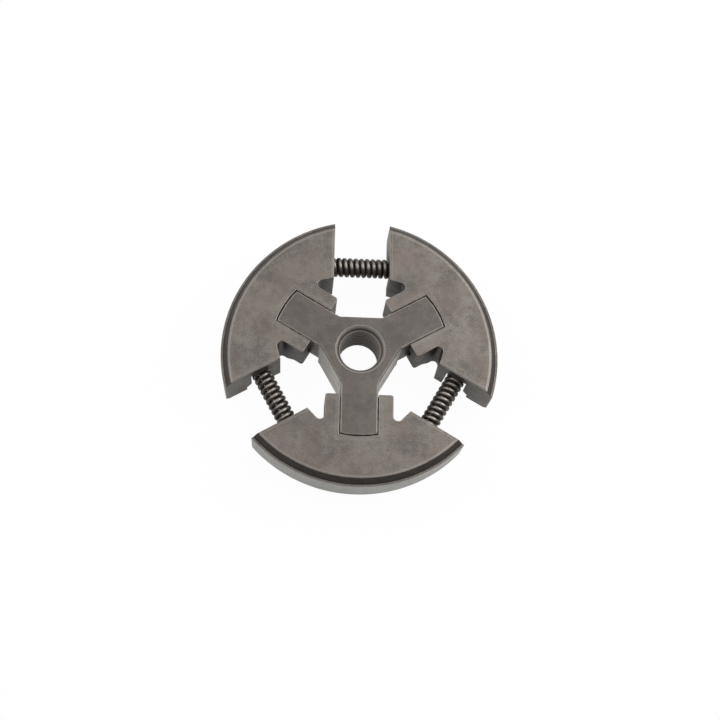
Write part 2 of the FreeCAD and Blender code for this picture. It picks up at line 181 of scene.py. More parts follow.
def half_spring(sides=14, step=0.2 * MM, fine=4, bend_reach=16):
    """Vertices and faces of half a spring, closed at both ends, and its painted highlight per vertex.

    The point at angle a of a ring is the path plus the wire's radius times (N cos a + B sin a),
    with N the outward direction made square to the tangent T, and B = T x N. The painted
    highlight is cos a, where positive, times the size of N's height: it is 1 on the lines along
    the coil's front and rear, and 0 at its sides.
    """
    path, outward = half_spring_path(step / fine)
    path = smoothed(path, bend_reach)
    start = int(round(math.pi / 2 * COIL_RADIUS / (step / fine)))
    tangent = unit(np.gradient(path, axis=0))[start::fine]
    outward = outward[start::fine]
    path = path[start::fine]
    normal = unit(outward - np.sum(outward * tangent, axis=1, keepdims=True) * tangent)
    across = np.cross(tangent, normal)
    angle = np.linspace(0, 2 * math.pi, sides, endpoint=False)
    along_normal = np.cos(angle)[None, :, None] * normal[:, None, :]
    along_across = np.sin(angle)[None, :, None] * across[:, None, :]
    vertices = path[:, None, :] + WIRE_RADIUS * (along_normal + along_across)
    faces = grid_quads(len(path), sides, closed_rows=False)
    first = list(range(sides))
    last = [(len(path) - 1) * sides + index for index in first]
    # The painted highlight: 1 along the wire's front and rear, 0 at its sides
    wear_and_highlight = np.clip(np.cos(angle), 0, 1)[None, :] * np.abs(normal[:, 2:])
    return vertices.reshape(-1, 3), faces + [first[::-1], last], wear_and_highlight.ravel()


def turned_about_z(points, angle):
    """The points turned about Z: each times the matrix of the turn."""
    turn = np.array(Matrix.Rotation(angle, 3, "Z"))
    return points @ turn.T


def add_springs():
    """Each spring as two halves, which stretch from its middle to the shoe that they hook on."""
    vertices, faces, wear_and_highlight = half_spring()
    centre = np.array([SPRING_DISTANCE, 0, 0])
    pieces = []
    for index, spring in enumerate(SPRINGS):
        angle = FIRST_SHOE + STEP / 2 + index * STEP
        for shoe, side in ((SHOES[(index + 1) % len(SHOES)], 1), (SHOES[index], -1)):
            placed = turned_about_z(vertices * np.array([1, side, side]) + centre, angle)
            piece = new_piece(f"{spring}_to_{shoe}", placed, faces, True)
            # The attribute carries the painted highlight along the wire
            worn_and_highlit = piece.data.attributes.new("wear_and_highlight", "FLOAT", "POINT")
            worn_and_highlit.data.foreach_set("value", wear_and_highlight)
            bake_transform(piece)
            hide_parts(spring)
            pieces.append(piece)
    return pieces


def add_thread(columns=120, rows_per_turn=20):
    """The bore's left-hand thread, r(a, z) = root - height * ridge(z / pitch + a / 2 pi).

    The ridge has sloping flanks between a flat crest and a flat root. It runs out into a low lip
    all round at both ends, just inside the bore's mouths. The sleeve is closed by a plain wall
    sunk into the hub.
    """
    rows = int(BORE_LENGTH / THREAD_PITCH * rows_per_turn)
    rear_end, front_end = REAR + MOUTH_DEPTH + LIP_DEPTH, FRONT - MOUTH_DEPTH - LIP_DEPTH
    height = np.linspace(rear_end, front_end, rows)
    angle = np.linspace(0, 2 * math.pi, columns, endpoint=False)
    phase = (height[:, None] / THREAD_PITCH + angle[None, :] / (2 * math.pi)) % 1
    ridge = np.clip((RIDGE_FOOT - np.abs(phase - 0.5)) / RIDGE_FLANK, 0, 1)
    cut = BORE_RADIUS + ROOT_DEPTH - (THREAD_HEIGHT + ROOT_DEPTH) * ridge
    lip = BORE_RADIUS - LIP_HEIGHT
    from_end = np.minimum(height - height[0], height[-1] - height)
    full = np.clip(from_end / LIP_WIDTH - 1, 0, 1)[:, None]
    inner = lip * (1 - full) + cut * full
    rounded = np.full((1, columns), lip + LIP_ROUND)
    outer = np.full((2, columns), BORE_RADIUS + SLEEVE_DEPTH)
    radius = np.concatenate([inner, rounded, outer, rounded])
    closing = height[[-1, -1, 0, 0]] + np.array([1, 1, -1, -1]) * LIP_ROUND
    level = np.concatenate([height, closing])
    vertices = np.empty((len(level), columns, 3))
    vertices[:, :, 0] = radius * np.cos(angle)
    vertices[:, :, 1] = radius * np.sin(angle)
    vertices[:, :, 2] = level[:, None]
    faces = [face[::-1] for face in grid_quads(len(level), columns, closed_rows=True)]
    thread = new_piece("bore_thread", vertices.reshape(-1, 3), faces, True)
    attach(thread, "hub")
    return thread


# Node trees


class Wiring:
    """Adds nodes to a node tree. An input is a plain value or another node's output."""

    def __init__(self, tree):
        self.tree = tree

    def fill(self, node, inputs):
        """Sets each named input, or links it to the output that is given."""
        for name, value in inputs.items():
            if isinstance(value, bpy.types.NodeSocket):
                self.tree.links.new(value, node.inputs[name])
            else:
                node.inputs[name].default_value = value

    def add(self, kind, inputs=None, **settings):
        """A new node with its settings and inputs."""
        node = self.tree.nodes.new(kind)
        for name, value in settings.items():
            setattr(node, name, value)
        self.fill(node, inputs or {})
        return node

    def math(self, operation, first, second=0.0):
        return self.add("ShaderNodeMath", {0: first, 1: second}, operation=operation).outputs[0]

    def product(self, first, *others):
        for other in others:
            first = self.math("MULTIPLY", first, other)
        return first

    def highest(self, first, *others):
        for other in others:
            first = self.math("MAXIMUM", first, other)
        return first

    def rest(self, share):
        """What a share leaves of 1."""
        return self.math("SUBTRACT", 1.0, share)

    def sum(self, *weighted):
        """The sum of values, each given with its weight."""
        total = 0.0
        for value, weight in weighted:
            inputs = {0: value, 1: weight, 2: total}
            total = self.add("ShaderNodeMath", inputs, operation="MULTIPLY_ADD").outputs[0]
        return total

    def vector(self, operation, first, second=(0.0, 0.0, 0.0)):
        node = self.add("ShaderNodeVectorMath", {0: first, 1: second}, operation=operation)
        return node.outputs["Value" if operation in ("DOT_PRODUCT", "LENGTH") else "Vector"]

    def axis(self, vector, name):
        return self.add("ShaderNodeSeparateXYZ", {0: vector}).outputs[name]

    def span(self, value, low, high, to_low=0.0, to_high=1.0, interpolation="LINEAR"):
        """The value carried evenly from one span to another, without leaving it."""
        inputs = {"Value": value, "From Min": low, "From Max": high}
        inputs.update({"To Min": to_low, "To Max": to_high})
        node = self.add("ShaderNodeMapRange", inputs, interpolation_type=interpolation)
        return node.outputs["Result"]

    def ramp(self, value, low, high, to_low=0.0, to_high=1.0):
        """The value carried smoothly from one span to another, without leaving it."""
        return self.span(value, low, high, to_low, to_high, "SMOOTHSTEP")

    def band(self, value, low, rise, fall, high):
        """1 between rise and fall, and 0 below low and above high."""
        return self.product(self.ramp(value, low, rise), self.ramp(value, high, fall))

    def mix(self, factor, first, second):
        inputs = {0: factor, 6: first, 7: second}
        return self.add("ShaderNodeMix", inputs, data_type="RGBA").outputs[2]

    def noise(self, vector, size, detail=3.0, roughness=0.55):
        """Cloudy noise whose patches are about as wide as the given size."""
        inputs = {"Vector": vector, "Scale": 1 / size, "Detail": detail, "Roughness": roughness}
        return self.add("ShaderNodeTexNoise", inputs).outputs["Fac"]

    def geometry(self, name):
        return self.add("ShaderNodeNewGeometry").outputs[name]

    def open_share(self, distance, only_local):
        """How much of the space around a point is free within a distance."""
        inputs = {"Distance": distance}
        settings = {"samples": NEARBY_SAMPLES, "only_local": only_local}
        return self.add("ShaderNodeAmbientOcclusion", inputs, **settings).outputs["AO"]


def from_axis(wiring, position):
    """The distance from the axis along Z."""
    return wiring.vector("LENGTH", wiring.vector("MULTIPLY", position, (1.0, 1.0, 0.0)))


def new_group(name, inputs, outputs):
    """An empty shader node group with named sockets, its wiring, its inputs and its output node."""
    group = bpy.data.node_groups.new(name, "ShaderNodeTree")
    for label, kind in inputs:
        group.interface.new_socket(label, in_out="INPUT", socket_type=kind)
    for label, kind in outputs:
        group.interface.new_socket(label, in_out="OUTPUT", socket_type=kind)
    wiring = Wiring(group)
    given = wiring.add("NodeGroupInput").outputs
    return group, wiring, given, wiring.add("NodeGroupOutput")


# Patterns of the sintered steel

FLOAT, VECTOR = "NodeSocketFloat", "NodeSocketVector"
NEARBY_SAMPLES = 8
PATTERN_SHIFT = (0.11, 0.07, 0.05)
PATCH_SIZE = 8 * MM
PATCH_SPAN = (0.3, 0.7)
PATCH_WEIGHT = 0.3
CLOUD_SIZE = 1.9 * MM
CLOUD_SPAN = (0.25, 0.75)
CLOUD_ROUGHNESS = 0.6
CLOUD_WEIGHT = 0.3
GRAIN_SIZE = 0.34 * MM
GRAIN_SPAN = (0.25, 0.75)
GRAIN_WEIGHT = 0.4
GRAIN_HEIGHT = 0.6
TINT_SIZE = 6 * MM
TINT_SPAN = (0.36, 0.64)
PORE_SPACING = 0.45 * MM
PORE_SPAN = (0.3, 0.12)
PORE_HEIGHT = -1.0
PORE_PATCH_SIZE = 0.9 * MM
PORE_PATCH_SPAN = (0.48, 0.6)
RUBBED_SIZE = 1.6 * MM
RUBBED_SPAN = (0.3, 0.6, 0.45, 1.0)
# Leans of the rubbed edges, and of the painted highlight line beside level faces
CORNER_LEANS = (0.3, 0.55, 0.93, 0.995)
HIGHLIGHT_LINE_LEANS = (0.84, 0.92, 0.975, 0.998)
# Noise that breaks the painted shade, and the openness below which the painted shade sets in
SHADE_BREAK_SIZE = 1.1 * MM
SHADE_BREAK_SPAN = (0.3, 0.65, 0.7, 1.0)
SHADE_SPAN = (0.9, 0.4)


def sintered_grain_group():
    """Pressed powder metal: soft mottling, a drift of tint, fine grain, small pores and height."""
    group, wiring, given, result = new_group(
        "sintered_grain",
        [("Position", VECTOR)],
        [("Mottle", FLOAT), ("Tint", FLOAT), ("Pores", FLOAT), ("Height", FLOAT)],
    )
    position = given["Position"]
    shifted = wiring.vector("ADD", position, PATTERN_SHIFT)
    patches = wiring.ramp(wiring.noise(position, PATCH_SIZE, detail=2.0), *PATCH_SPAN)
    cloud_noise = wiring.noise(shifted, CLOUD_SIZE, detail=4.0, roughness=CLOUD_ROUGHNESS)
    clouds = wiring.ramp(cloud_noise, *CLOUD_SPAN)
    grain = wiring.ramp(wiring.noise(position, GRAIN_SIZE, detail=2.0), *GRAIN_SPAN)
    cells = wiring.add("ShaderNodeTexVoronoi", {"Vector": position, "Scale": 1 / PORE_SPACING})
    pitted = wiring.ramp(wiring.noise(shifted, PORE_PATCH_SIZE, detail=1.0), *PORE_PATCH_SPAN)
    pores = wiring.product(wiring.ramp(cells.outputs["Distance"], *PORE_SPAN), pitted)
    mottle = wiring.sum((patches, PATCH_WEIGHT), (clouds, CLOUD_WEIGHT), (grain, GRAIN_WEIGHT))
    wiring.fill(result, {
        "Mottle": mottle,
        "Tint": wiring.ramp(wiring.noise(shifted, TINT_SIZE), *TINT_SPAN),
        "Pores": pores,
        "Height": wiring.sum((grain, GRAIN_HEIGHT), (pores, PORE_HEIGHT)),
    })
    return group


def edge_wear_and_highlight_group():
    """Rubbed edges with a painted highlight: where the normal, rounded over a width, leans
    between level and upright.

    Mask is the whole of such an edge, broken by noise: rubbed steel, and a painted highlight.
    Line is only the strip by its level face, a painted highlight line.
    """
    group, wiring, given, result = new_group(
        "edge_wear_and_highlight",
        [("Position", VECTOR), ("Width", FLOAT)],
        [("Mask", FLOAT), ("Line", FLOAT), ("Normal", VECTOR)],
    )
    bevel = wiring.add("ShaderNodeBevel", {"Radius": given["Width"]}, samples=NEARBY_SAMPLES)
    rounded = bevel.outputs["Normal"]
    lean = wiring.math("ABSOLUTE", wiring.axis(rounded, "Z"))
    rubbed = wiring.ramp(wiring.noise(given["Position"], RUBBED_SIZE, detail=4.0), *RUBBED_SPAN)
    wiring.fill(result, {
        "Mask": wiring.product(wiring.band(lean, *CORNER_LEANS), rubbed),
        "Line": wiring.band(lean, *HIGHLIGHT_LINE_LEANS),
        "Normal": rounded,
    })
    return group


def painted_shade_group():
    """Painted shade where the piece's own surfaces stand close by, broken by noise."""
    group, wiring, given, result = new_group(
        "painted_shade",
        [("Position", VECTOR), ("Reach", FLOAT)],
        [("Mask", FLOAT)],
    )
    shaded = wiring.ramp(wiring.open_share(given["Reach"], only_local=True), *SHADE_SPAN)
    broken = wiring.ramp(wiring.noise(given["Position"], SHADE_BREAK_SIZE, detail=4.0), *SHADE_BREAK_SPAN)
    wiring.fill(result, {"Mask": wiring.product(shaded, broken)})
    return group


# Zones of a shoe, with slopes as heights of the normal and borders as distances from an edge

UPRIGHT_SLOPES = (0.35, 0.3)
BEVEL_SLOPES = (0.35, 0.4, 0.8, 0.85)
LEVEL_SLOPES = (0.9, 0.95)
WALL_SKIN = (0.3 * MM, 0.2 * MM)
RIM_SKIN = (0.03 * MM, -0.03 * MM)
FINGER_FADE = 1.5 * MM
# Bands of the painted highlight line along the rim, the end faces and the slot
RIM_BORDER = (0.0, 0.4 * MM, 0.45 * MM, 0.85 * MM)
END_BORDER = (0.4 * MM, 0.55 * MM, 0.6 * MM, 0.9 * MM)
SLOT_BORDER = (0.2 * MM, 0.6 * MM, 0.8 * MM, 1.5 * MM)
END_BORDER_SHARE = 0.6
SLOT_BORDER_SHARE = 0.3
RIM_ROUNDING = 0.8 * MM
END_ROUNDING = 0.7 * MM
PASS_WIDTH = 0.16 * MM
PASS_ROUGHNESS = 0.7
PASS_WEIGHT = 0.6
STREAK_WIDTH = 0.3 * MM
STREAK_STRETCH = (0.06, 0.06, 1.0)
STREAK_WEIGHT = 0.4


def shoe_zones_group():
    """Zones of a shoe by its slopes and the distances from the drum's axis and the end faces.

    The place is given in the shoe's own frame, whose X runs along the shoe's middle line. Rounding
    runs from 0 to 1 over the rounded borders of the front face, and grows as a square. Border is
    the strip along them that gets a painted highlight line, and Side and Bevel pick out the faces
    that are painted dark as shade. Turning is the turned wall's marks.
    """
    group, wiring, given, result = new_group(
        "shoe_zones",
        [("Place", VECTOR)],
        [("Wall", FLOAT), ("Side", FLOAT), ("Bevel", FLOAT), ("Border", FLOAT),
         ("Rounding", FLOAT), ("Turning", FLOAT)],
    )
    place = given["Place"]
    folded = wiring.vector("ABSOLUTE", place)
    radius = from_axis(wiring, wiring.vector("ADD", place, (TRAVEL, 0.0, 0.0)))
    from_wall = wiring.math("SUBTRACT", DRUM_RADIUS, radius)
    from_rim = wiring.math("SUBTRACT", FACE_EDGE, radius)
    towards_end = wiring.vector("DOT_PRODUCT", folded, END_FACING)
    from_end = wiring.math("SUBTRACT", towards_end, GAP_WIDTH / 2)
    beside_slot = wiring.math("SUBTRACT", wiring.axis(folded, "Y"), SLOT_WIDTH / 2)
    past_slot = wiring.math("SUBTRACT", wiring.axis(place, "X"), SLOT_REACH)
    from_slot = wiring.highest(beside_slot, past_slot)
    slope = wiring.axis(wiring.geometry("True Normal"), "Z")
    upright = wiring.ramp(wiring.math("ABSOLUTE", slope), *UPRIGHT_SLOPES)
    level = wiring.ramp(slope, *LEVEL_SLOPES)
    outer = wiring.ramp(from_wall, *WALL_SKIN)
    past_fingers = wiring.ramp(radius, FINGER_REACH, FINGER_REACH + FINGER_FADE)
    end_border = wiring.product(wiring.band(from_end, *END_BORDER), past_fingers)
    border = wiring.highest(
        wiring.band(from_rim, *RIM_BORDER),
        wiring.product(end_border, END_BORDER_SHARE),
        wiring.product(wiring.band(from_slot, *SLOT_BORDER), SLOT_BORDER_SHARE),
    )
    into_rim = wiring.span(from_rim, RIM_ROUNDING, 0.0)
    into_end = wiring.product(wiring.span(from_end, END_ROUNDING, 0.0), past_fingers)
    into_border = wiring.highest(into_rim, into_end)
    height = wiring.vector("MULTIPLY", place, (0.0, 0.0, 1.0))
    passes = wiring.noise(height, PASS_WIDTH, roughness=PASS_ROUGHNESS)
    streaks = wiring.noise(wiring.vector("MULTIPLY", place, STREAK_STRETCH), STREAK_WIDTH)
    bevel_slope = wiring.band(slope, *BEVEL_SLOPES)
    wiring.fill(result, {
        "Wall": wiring.product(outer, upright),
        "Side": wiring.product(wiring.rest(outer), upright),
        "Bevel": wiring.product(wiring.ramp(from_rim, *RIM_SKIN), bevel_slope),
        "Border": wiring.product(border, level),
        "Rounding": wiring.product(into_border, into_border, level),
        "Turning": wiring.sum((passes, PASS_WEIGHT), (streaks, STREAK_WEIGHT)),
    })
    return group


# Finishes


def tone(red, green, blue):
    """The linear colour of a tone given on the usual scale of 0 to 255."""
    share = np.array([red, green, blue]) / 255
    linear = np.where(share <= 0.04045, share / 12.92, ((share + 0.055) / 1.055) ** 2.4)
    return (*linear.tolist(), 1.0)


SHOE_TONES = {
    "dark": tone(106, 100, 96), "light": tone(138, 132, 125), "warm": tone(129, 116, 107),
}
HUB_TONES = {
    "dark": tone(99, 94, 90), "light": tone(118, 112, 107), "warm": tone(114, 104, 97),
}
WALL_TONES = {"mark": tone(119, 117, 112), "turned": tone(153, 152, 146)}
# Painted light: the hub's flats, pale for the light they reflect
LIT_FLAT_TONES = {"dark": tone(196, 192, 184), "light": tone(228, 224, 215)}
# The bore mouth's cone, painted from dark in its depth as shade to pale at its edge
CONE_TONES = {
    "deep": tone(76, 71, 67), "edge": tone(168, 161, 155), "foot": tone(154, 147, 141),
}
THREAD_TONES = {
    "oiled": tone(88, 82, 78), "clean": tone(112, 105, 100), "crest": tone(142, 135, 130),
}
# The wire's rubbed and bright tones are its painted highlight
WIRE_TONES = {
    "black": tone(74, 68, 64), "faded": tone(96, 89, 84),
    "rubbed": tone(172, 167, 160), "bright": tone(184, 176, 166),
}
# Pale edges: rubbed steel, and a painted highlight
EDGE_WEAR_AND_HIGHLIGHT_TONE = tone(165, 158, 150)
PORE_TONE = tone(62, 56, 52)
# Painted shade, for recesses and for the springs near other pieces
SHADE_TONE = tone(38, 33, 30)
# Painted shade on the shoes' upright sides
SIDE_SHADE_TONE = tone(70, 67, 62)
# Painted shade on the shoes' bevels
BEVEL_SHADE_TONE = tone(49, 44, 41)

MOTTLE_SPAN = (0.2, 0.8)
CLEAR_MOTTLE_SPAN = (0.3, 0.7)
TINT_SHARE = 0.4
PORE_SHARE = 0.5
EDGE_WIDTH = 0.22 * MM
# Reach of the painted shade in recesses
SHADE_REACH = 5 * MM
STEEL_METAL = 0.8
STEEL_ROUGHNESS = (0.5, 0.4)
GRAIN_DEPTH = 0.02 * MM
BUMP_STRENGTH = 0.7

CONE_FADE = 0.12 * MM
FLAT_FADE = 0.8 * MM
FLAT_SLOPES = (0.3, 0.2)
# Share of the painted light on the flats
FLAT_LIGHT_SHARE = 0.8
FLAT_MATT = 0.6
MOUTH_EDGE = (-0.1 * MM, 0.0, 0.1 * MM, 0.35 * MM)
MOUTH_EDGE_SHARE = 0.7
HUB_EDGE_SHARE = 0.85
# Share of the painted shade in the hub's recesses
HUB_SHADE_SHARE = 0.5
HUB_MATT_METAL = 0.2

# Share of the painted shade on the upright sides
SIDE_SHADE_SHARE = 0.6
# Shares of the painted highlight on the border strip and on the rubbed edges
BORDER_HIGHLIGHT_SHARE = 0.7
SHOE_EDGE_SHARE = 0.8
# Share of the painted shade on the bevel
BEVEL_SHADE_SHARE = 0.97
BEVEL_MATT = 0.5
SHOE_MATT_METAL = 0.3
WALL_POLISH = -0.1
MARK_HEIGHT = 0.8
ROUNDING_HEIGHT = -5.0

THREAD_METAL = 0.25
THREAD_ROUGHNESS = (0.5, 0.35)
THREAD_GRAIN_DEPTH = 0.01 * MM
LIP_FADE = 0.1 * MM

WIRE_METAL = 0.6
WIRE_ROUGHNESS = (0.4, 0.3)
WIRE_GRAIN_DEPTH = 0.006 * MM
# The wire's painted highlight
WIRE_HIGHLIGHT_SPAN = (0.8, 1.0)
WIRE_PATCHES = (0.1, 0.6, 0.7, 1.0)
# The wire's painted shade where other pieces stand close by
WIRE_SHADE_REACH = 2.5 * MM
WIRE_SHADE_SPAN = (0.5, 0.1)


def new_finish(name):
    """A material with a Principled shader, its wiring and Object coordinates for its patterns."""
    material = bpy.data.materials.new(name)
    material.use_nodes = True
    material.node_tree.nodes.clear()
    wiring = Wiring(material.node_tree)
    shader = wiring.add("ShaderNodeBsdfPrincipled")
    wiring.add("ShaderNodeOutputMaterial", {"Surface": shader.outputs[0]})
    position = wiring.add("ShaderNodeTexCoord").outputs["Object"]
    return material, wiring, shader, position


def placed_group(wiring, group, **inputs):
    """The outputs of a node group that is placed in a material with its own inputs."""
    return wiring.add("ShaderNodeGroup", inputs, node_tree=group).outputs


def sintered_layers(wiring, groups, position, tones):
    """The pitted colour, the grain, the rubbed edges with their painted highlight and the painted
    shade of the hub and the shoes.
    """
    grain = placed_group(wiring, groups["grain"], Position=position)
    wear_and_highlight = placed_group(wiring, groups["wear_and_highlight"], Position=position, Width=EDGE_WIDTH)
    painted_shade = placed_group(wiring, groups["painted_shade"], Position=position, Reach=SHADE_REACH)
    lightness = wiring.ramp(grain["Mottle"], *MOTTLE_SPAN)
    base = wiring.mix(lightness, tones["dark"], tones["light"])
    tinted = wiring.mix(wiring.product(grain["Tint"], TINT_SHARE), base, tones["warm"])
    pitted = wiring.mix(wiring.product(grain["Pores"], PORE_SHARE), tinted, PORE_TONE)
    return pitted, grain, wear_and_highlight, painted_shade["Mask"]


def bumped(wiring, height, normal, distance):
    """The normal tilted by a height, whose full rise is the distance."""
    inputs = {"Height": height, "Normal": normal, "Distance": distance, "Strength": BUMP_STRENGTH}
    return wiring.add("ShaderNodeBump", inputs).outputs["Normal"]


def hub_finish(groups):
    """Sintered steel with rubbed edges and a painted highlight along them, flats painted pale for
    the light they reflect, a bore mouth painted darker towards its depth as shade, and painted
    shade in recesses.
    """
    material, wiring, shader, position = new_finish("hub_sintered")
    base, grain, wear_and_highlight, painted_shade = sintered_layers(wiring, groups, position, HUB_TONES)
    radius = from_axis(wiring, position)
    slope = wiring.math("ABSOLUTE", wiring.axis(wiring.geometry("True Normal"), "Z"))
    on_arm = wiring.ramp(radius, FLAT_REACH, FLAT_REACH + FLAT_FADE)
    # The flats are painted pale, for the light they reflect
    flat = wiring.product(wiring.ramp(slope, *FLAT_SLOPES), wiring.rest(on_arm))
    flat_light = wiring.ramp(grain["Mottle"], *CLEAR_MOTTLE_SPAN)
    lit_flat_tone = wiring.mix(flat_light, LIT_FLAT_TONES["dark"], LIT_FLAT_TONES["light"])
    flats_lit = wiring.mix(wiring.product(flat, FLAT_LIGHT_SHARE), base, lit_flat_tone)
    # The bore's mouth is painted darker towards its depth as shade, with a pale ring at its foot
    cone = wiring.ramp(radius, MOUTH_RADIUS, MOUTH_RADIUS - CONE_FADE)
    up_cone = wiring.ramp(radius, FOOT_RADIUS, MOUTH_RADIUS)
    cone_shade_tone = wiring.mix(up_cone, CONE_TONES["deep"], CONE_TONES["edge"])
    foot = wiring.ramp(radius, FOOT_RADIUS, BORE_RADIUS)
    cut = wiring.mix(cone, flats_lit, wiring.mix(foot, cone_shade_tone, CONE_TONES["foot"]))
    # Edges and the mouth's rim get a pale tone: rubbed steel, and a painted highlight
    mouth_edge = wiring.band(wiring.math("SUBTRACT", radius, MOUTH_RADIUS), *MOUTH_EDGE)
    arm_edge = wiring.product(wear_and_highlight["Mask"], on_arm)
    edge = wiring.highest(arm_edge, wear_and_highlight["Line"], wiring.product(mouth_edge, MOUTH_EDGE_SHARE))
    worn_and_highlit = wiring.mix(wiring.product(edge, HUB_EDGE_SHARE), cut, EDGE_WEAR_AND_HIGHLIGHT_TONE)
    # Painted shade where the hub's own surfaces stand close by, kept off the bore's mouth
    shaded = wiring.product(painted_shade, HUB_SHADE_SHARE, wiring.rest(cone))
    matt = wiring.highest(cone, arm_edge, wiring.product(flat, FLAT_MATT))
    wiring.fill(shader, {
        "Base Color": wiring.mix(shaded, worn_and_highlit, SHADE_TONE),
        "Metallic": wiring.span(matt, 1.0, 0.0, HUB_MATT_METAL, STEEL_METAL),
        "Roughness": wiring.ramp(grain["Mottle"], *MOTTLE_SPAN, *STEEL_ROUGHNESS),
        "Normal": bumped(wiring, grain["Height"], wear_and_highlight["Normal"], GRAIN_DEPTH),
    })
    return material


def shoe_finish(groups, shoe, direction):
    """Sintered steel in the shoe's frame: a rounded border with a painted highlight line, a bevel
    and upright sides painted dark as shade, a turned wall, and painted shade in recesses.
    """
    material, wiring, shader, position = new_finish(shoe + "_sintered")
    base, grain, wear_and_highlight, painted_shade = sintered_layers(wiring, groups, position, SHOE_TONES)
    back_turn = {"Vector": position, "Angle": -math.atan2(direction.y, direction.x)}
    turned_back = wiring.add("ShaderNodeVectorRotate", back_turn, rotation_type="Z_AXIS")
    zones = placed_group(wiring, groups["zones"], Place=turned_back.outputs["Vector"])
    # Upright sides are painted darker, as shade
    side_shaded = wiring.mix(wiring.product(zones["Side"], SIDE_SHADE_SHARE), base, SIDE_SHADE_TONE)
    turned_light = wiring.ramp(zones["Turning"], *CLEAR_MOTTLE_SPAN)
    turned = wiring.mix(turned_light, WALL_TONES["mark"], WALL_TONES["turned"])
    walled = wiring.mix(zones["Wall"], side_shaded, turned)
    # Edges and the border strip get a pale tone: rubbed steel, and a painted highlight
    edge = wiring.highest(wear_and_highlight["Mask"], wiring.product(zones["Border"], BORDER_HIGHLIGHT_SHARE))
    worn_and_highlit = wiring.mix(wiring.product(edge, SHOE_EDGE_SHARE), walled, EDGE_WEAR_AND_HIGHLIGHT_TONE)
    # The bevel is painted dark, as shade
    dark = wiring.mix(wiring.product(zones["Bevel"], BEVEL_SHADE_SHARE), worn_and_highlit, BEVEL_SHADE_TONE)
    matt = wiring.product(wear_and_highlight["Mask"], wiring.span(zones["Bevel"], 0.0, 1.0, 1.0, BEVEL_MATT))
    rough_face = wiring.ramp(grain["Mottle"], *MOTTLE_SPAN, *STEEL_ROUGHNESS)
    marks = wiring.product(zones["Turning"], zones["Wall"])
    height = wiring.sum(
        (grain["Height"], 1.0), (marks, MARK_HEIGHT), (zones["Rounding"], ROUNDING_HEIGHT))
    # Painted shade darkens where the shoe's own surfaces stand close by
    wiring.fill(shader, {
        "Base Color": wiring.mix(painted_shade, dark, SHADE_TONE),
        "Metallic": wiring.span(matt, 1.0, 0.0, SHOE_MATT_METAL, STEEL_METAL),
        "Roughness": wiring.sum((rough_face, 1.0), (zones["Wall"], WALL_POLISH)),
        "Normal": bumped(wiring, height, wear_and_highlight["Normal"], GRAIN_DEPTH),
    })
    return material


def thread_finish(groups):
    """Cut steel with rubbed crests and lips, and oil in the roots of the thread."""
    material, wiring, shader, position = new_finish("thread_cut")
    grain = placed_group(wiring, groups["grain"], Position=position)
    crest = wiring.ramp(from_axis(wiring, position), BORE_RADIUS, BORE_RADIUS - THREAD_HEIGHT)
    root_tone = wiring.mix(grain["Mottle"], THREAD_TONES["oiled"], THREAD_TONES["clean"])
    rubbed = wiring.mix(crest, root_tone, THREAD_TONES["crest"])
    above_middle = wiring.math("SUBTRACT", wiring.axis(position, "Z"), BORE_MIDDLE)
    lip_start = BORE_LENGTH / 2 - LIP_DEPTH - LIP_WIDTH
    lip = wiring.ramp(wiring.math("ABSOLUTE", above_middle), lip_start, lip_start + LIP_FADE)
    wiring.fill(shader, {
        "Base Color": wiring.mix(lip, rubbed, CONE_TONES["foot"]),
        "Metallic": THREAD_METAL,
        "Roughness": wiring.ramp(crest, 0.0, 1.0, *THREAD_ROUGHNESS),
        "Normal": bumped(wiring, grain["Height"], wiring.geometry("Normal"), THREAD_GRAIN_DEPTH),
    })
    return material


def spring_finish(groups):
    """Black oiled spring wire, with a painted highlight along the side that faces out of the coil
    towards the front and rear, and painted shade where other pieces stand close by.
    """
    material, wiring, shader, position = new_finish("spring_black")
    grain = placed_group(wiring, groups["grain"], Position=position)
    wear_and_highlight = wiring.add("ShaderNodeAttribute", attribute_name="wear_and_highlight").outputs["Fac"]
    black = wiring.mix(grain["Mottle"], WIRE_TONES["black"], WIRE_TONES["faded"])
    # The rubbed tones and the crest mask paint a highlight along the wire's front and rear
    rubbed = wiring.mix(grain["Tint"], WIRE_TONES["rubbed"], WIRE_TONES["bright"])
    patches = wiring.ramp(grain["Mottle"], *WIRE_PATCHES)
    crest = wiring.product(wiring.ramp(wear_and_highlight, *WIRE_HIGHLIGHT_SPAN), patches)
    bright = wiring.mix(crest, black, rubbed)
    # Painted shade where other pieces stand close by, such as the shoe over the first coils
    open_share = wiring.open_share(WIRE_SHADE_REACH, only_local=False)
    wiring.fill(shader, {
        "Base Color": wiring.mix(wiring.ramp(open_share, *WIRE_SHADE_SPAN), bright, SHADE_TONE),
        "Metallic": WIRE_METAL,
        "Roughness": wiring.ramp(grain["Mottle"], *MOTTLE_SPAN, *WIRE_ROUGHNESS),
        "Normal": bumped(wiring, grain["Height"], wiring.geometry("Normal"), WIRE_GRAIN_DEPTH),
    })
    return material


def dress(piece, material):
    """Gives a piece one material in place of its own."""
    piece.data.materials.clear()
    piece.data.materials.append(material)


def dress_all(springs, thread):
    """Builds the shared patterns once and dresses every piece."""
    groups = {
        "grain": sintered_grain_group(),
        "wear_and_highlight": edge_wear_and_highlight_group(),
        "painted_shade": painted_shade_group(),
        "zones": shoe_zones_group(),
    }
    dress(frame["nodes"]["hub"], hub_finish(groups))
    for joint in frame["joints"]:
        shoe = joint["child"]
        dress(frame["nodes"][shoe], shoe_finish(groups, shoe, Vector(joint["axis"])))
    dress(thread, thread_finish(groups))
    black = spring_finish(groups)
    for spring in springs:
        dress(spring, black)


# Stage

